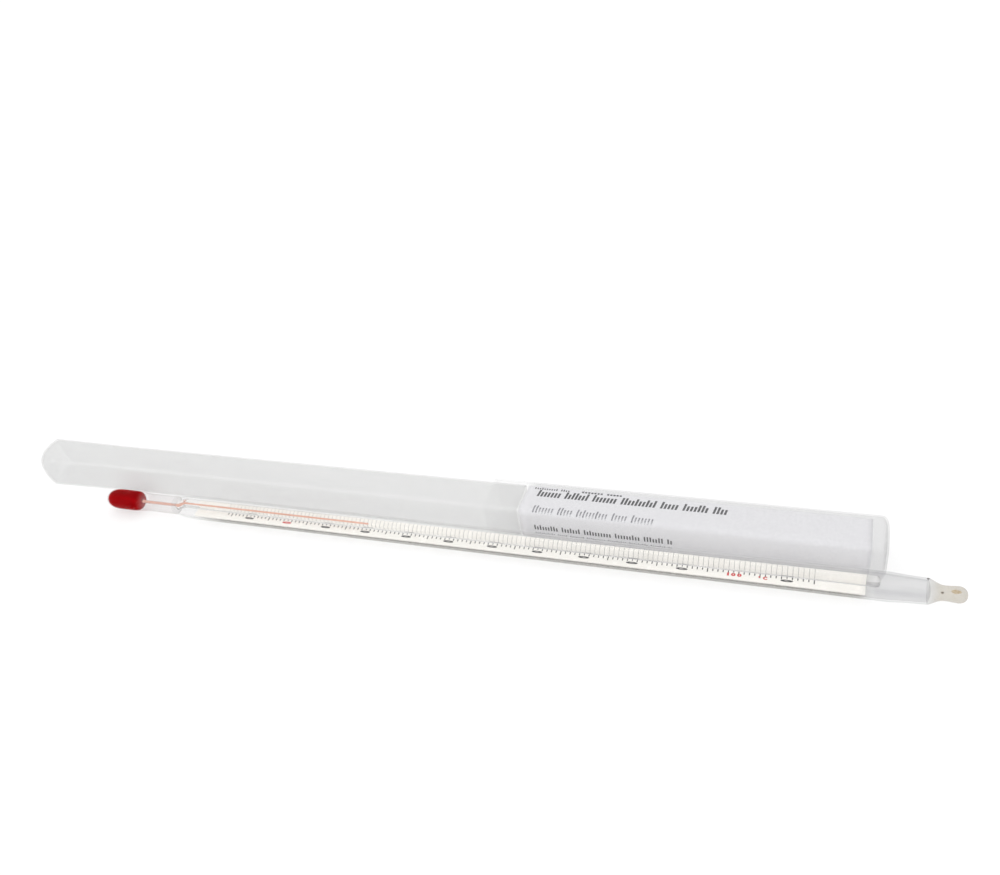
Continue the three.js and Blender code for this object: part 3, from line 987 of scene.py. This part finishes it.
def ruled_words(name, x0, x1, v_base, height, pitch, weight, slant, material, seed):
    """A row of plain bars grouped like words: it stands for a printed line without any lettering."""
    random.seed(seed)
    points, faces = [], []
    x = x0
    while x < x1:
        for k in range(random.choice(WORD_LENGTHS)):
            if x > x1:
                break
            top = height if k == 0 or random.random() < TALL_SHARE else height * LOW_HEIGHT
            bar(points, faces, x, x + weight, v_base - top, v_base, slant)
            x += pitch
        x += pitch * WORD_GAP
    mesh_object(name, points, faces, material, "label_paper", "storage_cap", smooth=False)


PRINT_X = LABEL_X0 + 0.6
# (name, start, end, place round the section, height, pitch, weight, slant, material, seed)
LABEL_LINES = (
    ("bold", 2.8, 56, v_on_top(LABEL_MID.y + 0.95), 2.6, 1.0, 0.62, 0.18, PRINT, 21),
    ("light", 3.0, 37.5, v_on_top(LABEL_MID.y - 4.2) + 1.0, 2.5, 0.9, 0.42, 0.15, PRINT_GREY, 22),
    ("small", 3.1, 42.5, v_on_front(LABEL_MID.z - 1.6), 1.9, 0.8, 0.42, 0.0, PRINT, 23),
    ("fine", 3.1, 42.5, v_on_front(LABEL_MID.z - 3.2), 0.5, 0.6, 0.35, 0.0, PRINT_GREY, 24),
    ("top", 1.6, 12, v_on_top(LABEL_MID.y + 3.7), 0.8, 0.7, 0.35, 0.0, PRINT, 25),
    ("crown", 15.5, 27, v_on_top(LABEL_MID.y + 3.85), 0.8, 0.9, 0.6, 0.0, PRINT, 26),
)
for name, start, end, *rest in LABEL_LINES:
    ruled_words("label_line_" + name, PRINT_X + start, PRINT_X + end, *rest)


# ---------- floor and light ----------

FLOOR_HALF, FLOOR_CELLS, FLOOR_Z = 4000.0, 8, -0.05


def stage_floor():
    n = FLOOR_CELLS
    line = [-FLOOR_HALF + 2 * FLOOR_HALF * k / n for k in range(n + 1)]
    pts = [Vector((x, y, FLOOR_Z)) for x in line for y in line]
    fcs = [(i * (n + 1) + j, (i + 1) * (n + 1) + j, (i + 1) * (n + 1) + j + 1, i * (n + 1) + j + 1)
           for i in range(n) for j in range(n)]
    mat, tree, shader, _ = new_material("floor")
    grain = stretched_noise(tree, 8, detail=2)
    tone = two_tone(tree, grain, (0.39, 0.39, 0.39), (0.41, 0.41, 0.41))
    tree.links.new(tone, shader.inputs["Base Color"])
    shader.inputs["Emission Color"].default_value = (1, 1, 1, 1)
    shader.inputs["Emission Strength"].default_value = 0.58
    shader.inputs["Roughness"].default_value = 0.9
    shader.inputs["Specular IOR Level"].default_value = 0.1
    mesh = bpy.data.meshes.new("floor")
    mesh.from_pydata([tuple(p * MM) for p in pts], [], fcs)
    mesh.materials.append(mat)
    obj = bpy.data.objects.new("floor", mesh)
    bpy.context.scene.collection.objects.link(obj)


stage_floor()


def softbox(name, azimuth, elevation, distance, width, height, power):
    """A rectangular lamp aimed at the object's middle; azimuth 0 is behind it, 180 in front of it."""
    a, e = math.radians(azimuth), math.radians(elevation)
    direction = Vector((math.sin(a) * math.cos(e), math.cos(a) * math.cos(e), math.sin(e)))
    data = bpy.data.lights.new(name, "AREA")
    data.shape = "RECTANGLE"
    data.size = width
    data.size_y = height
    data.energy = power
    lamp = bpy.data.objects.new(name, data)
    lamp.location = direction * distance
    lamp.rotation_euler = direction.to_track_quat("Z", "Y").to_euler()
    bpy.context.scene.collection.objects.link(lamp)


softbox("key", azimuth=-10, elevation=62, distance=1.2, width=0.6, height=0.4, power=1.3)
softbox("fill", azimuth=185, elevation=35, distance=1.5, width=1.4, height=0.8, power=4.0)
softbox("side", azimuth=-80, elevation=40, distance=1.4, width=0.8, height=0.8, power=1.0)

world = bpy.data.worlds.new("studio")
world.use_nodes = True
backdrop = world.node_tree.nodes["Background"]
backdrop.inputs["Color"].default_value = (1.0, 1.0, 1.0, 1)
backdrop.inputs["Strength"].default_value = 1.0
bpy.context.scene.world = world
bpy.context.scene.view_settings.view_transform = "Standard"

# Many thin walls lie one behind another, and a ray has to get through all of them.
bpy.context.scene.cycles.transparent_max_bounces = 40
